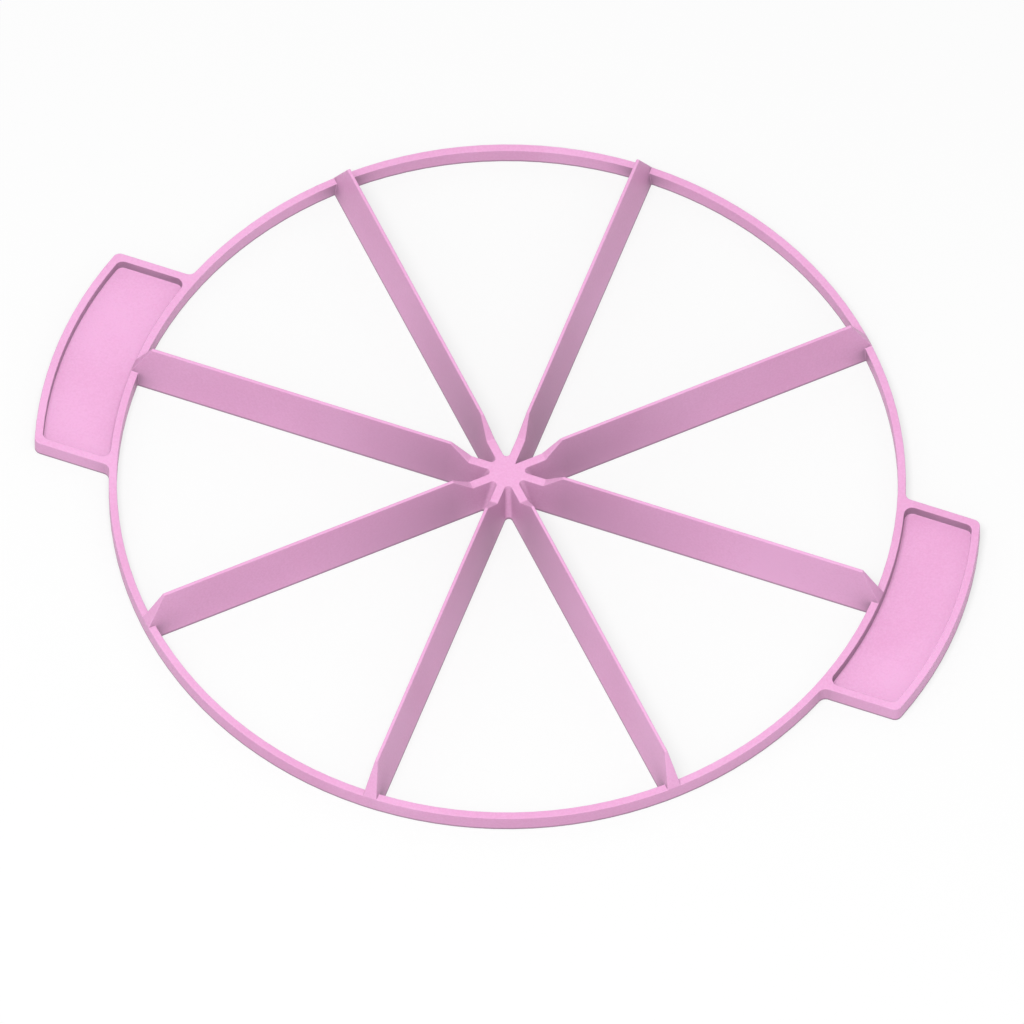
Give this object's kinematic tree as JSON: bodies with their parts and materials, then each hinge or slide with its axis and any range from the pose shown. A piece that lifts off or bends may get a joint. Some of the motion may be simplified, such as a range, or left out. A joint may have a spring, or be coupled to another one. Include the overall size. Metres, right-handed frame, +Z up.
{
  "type": "cake portion marker",
  "caption": "Round ring with tapered radial blades and pocketed grip tabs, pressed on the top of a cake to mark equal portions.",
  "frame": {"origin": "centre of the hub on the flat underside", "axes": "+X along the two grip tabs, +Z up out of the thin marking edges"},
  "size_m": [0.24, 0.2, 0.015],
  "materials": {
    "pink_plastic": "moulded, evenly pink right through, smooth satin-matt skin"
  },
  "bodies": {
    "root": {"portion_marker": "pink_plastic"}
  },
  "joints": []
}
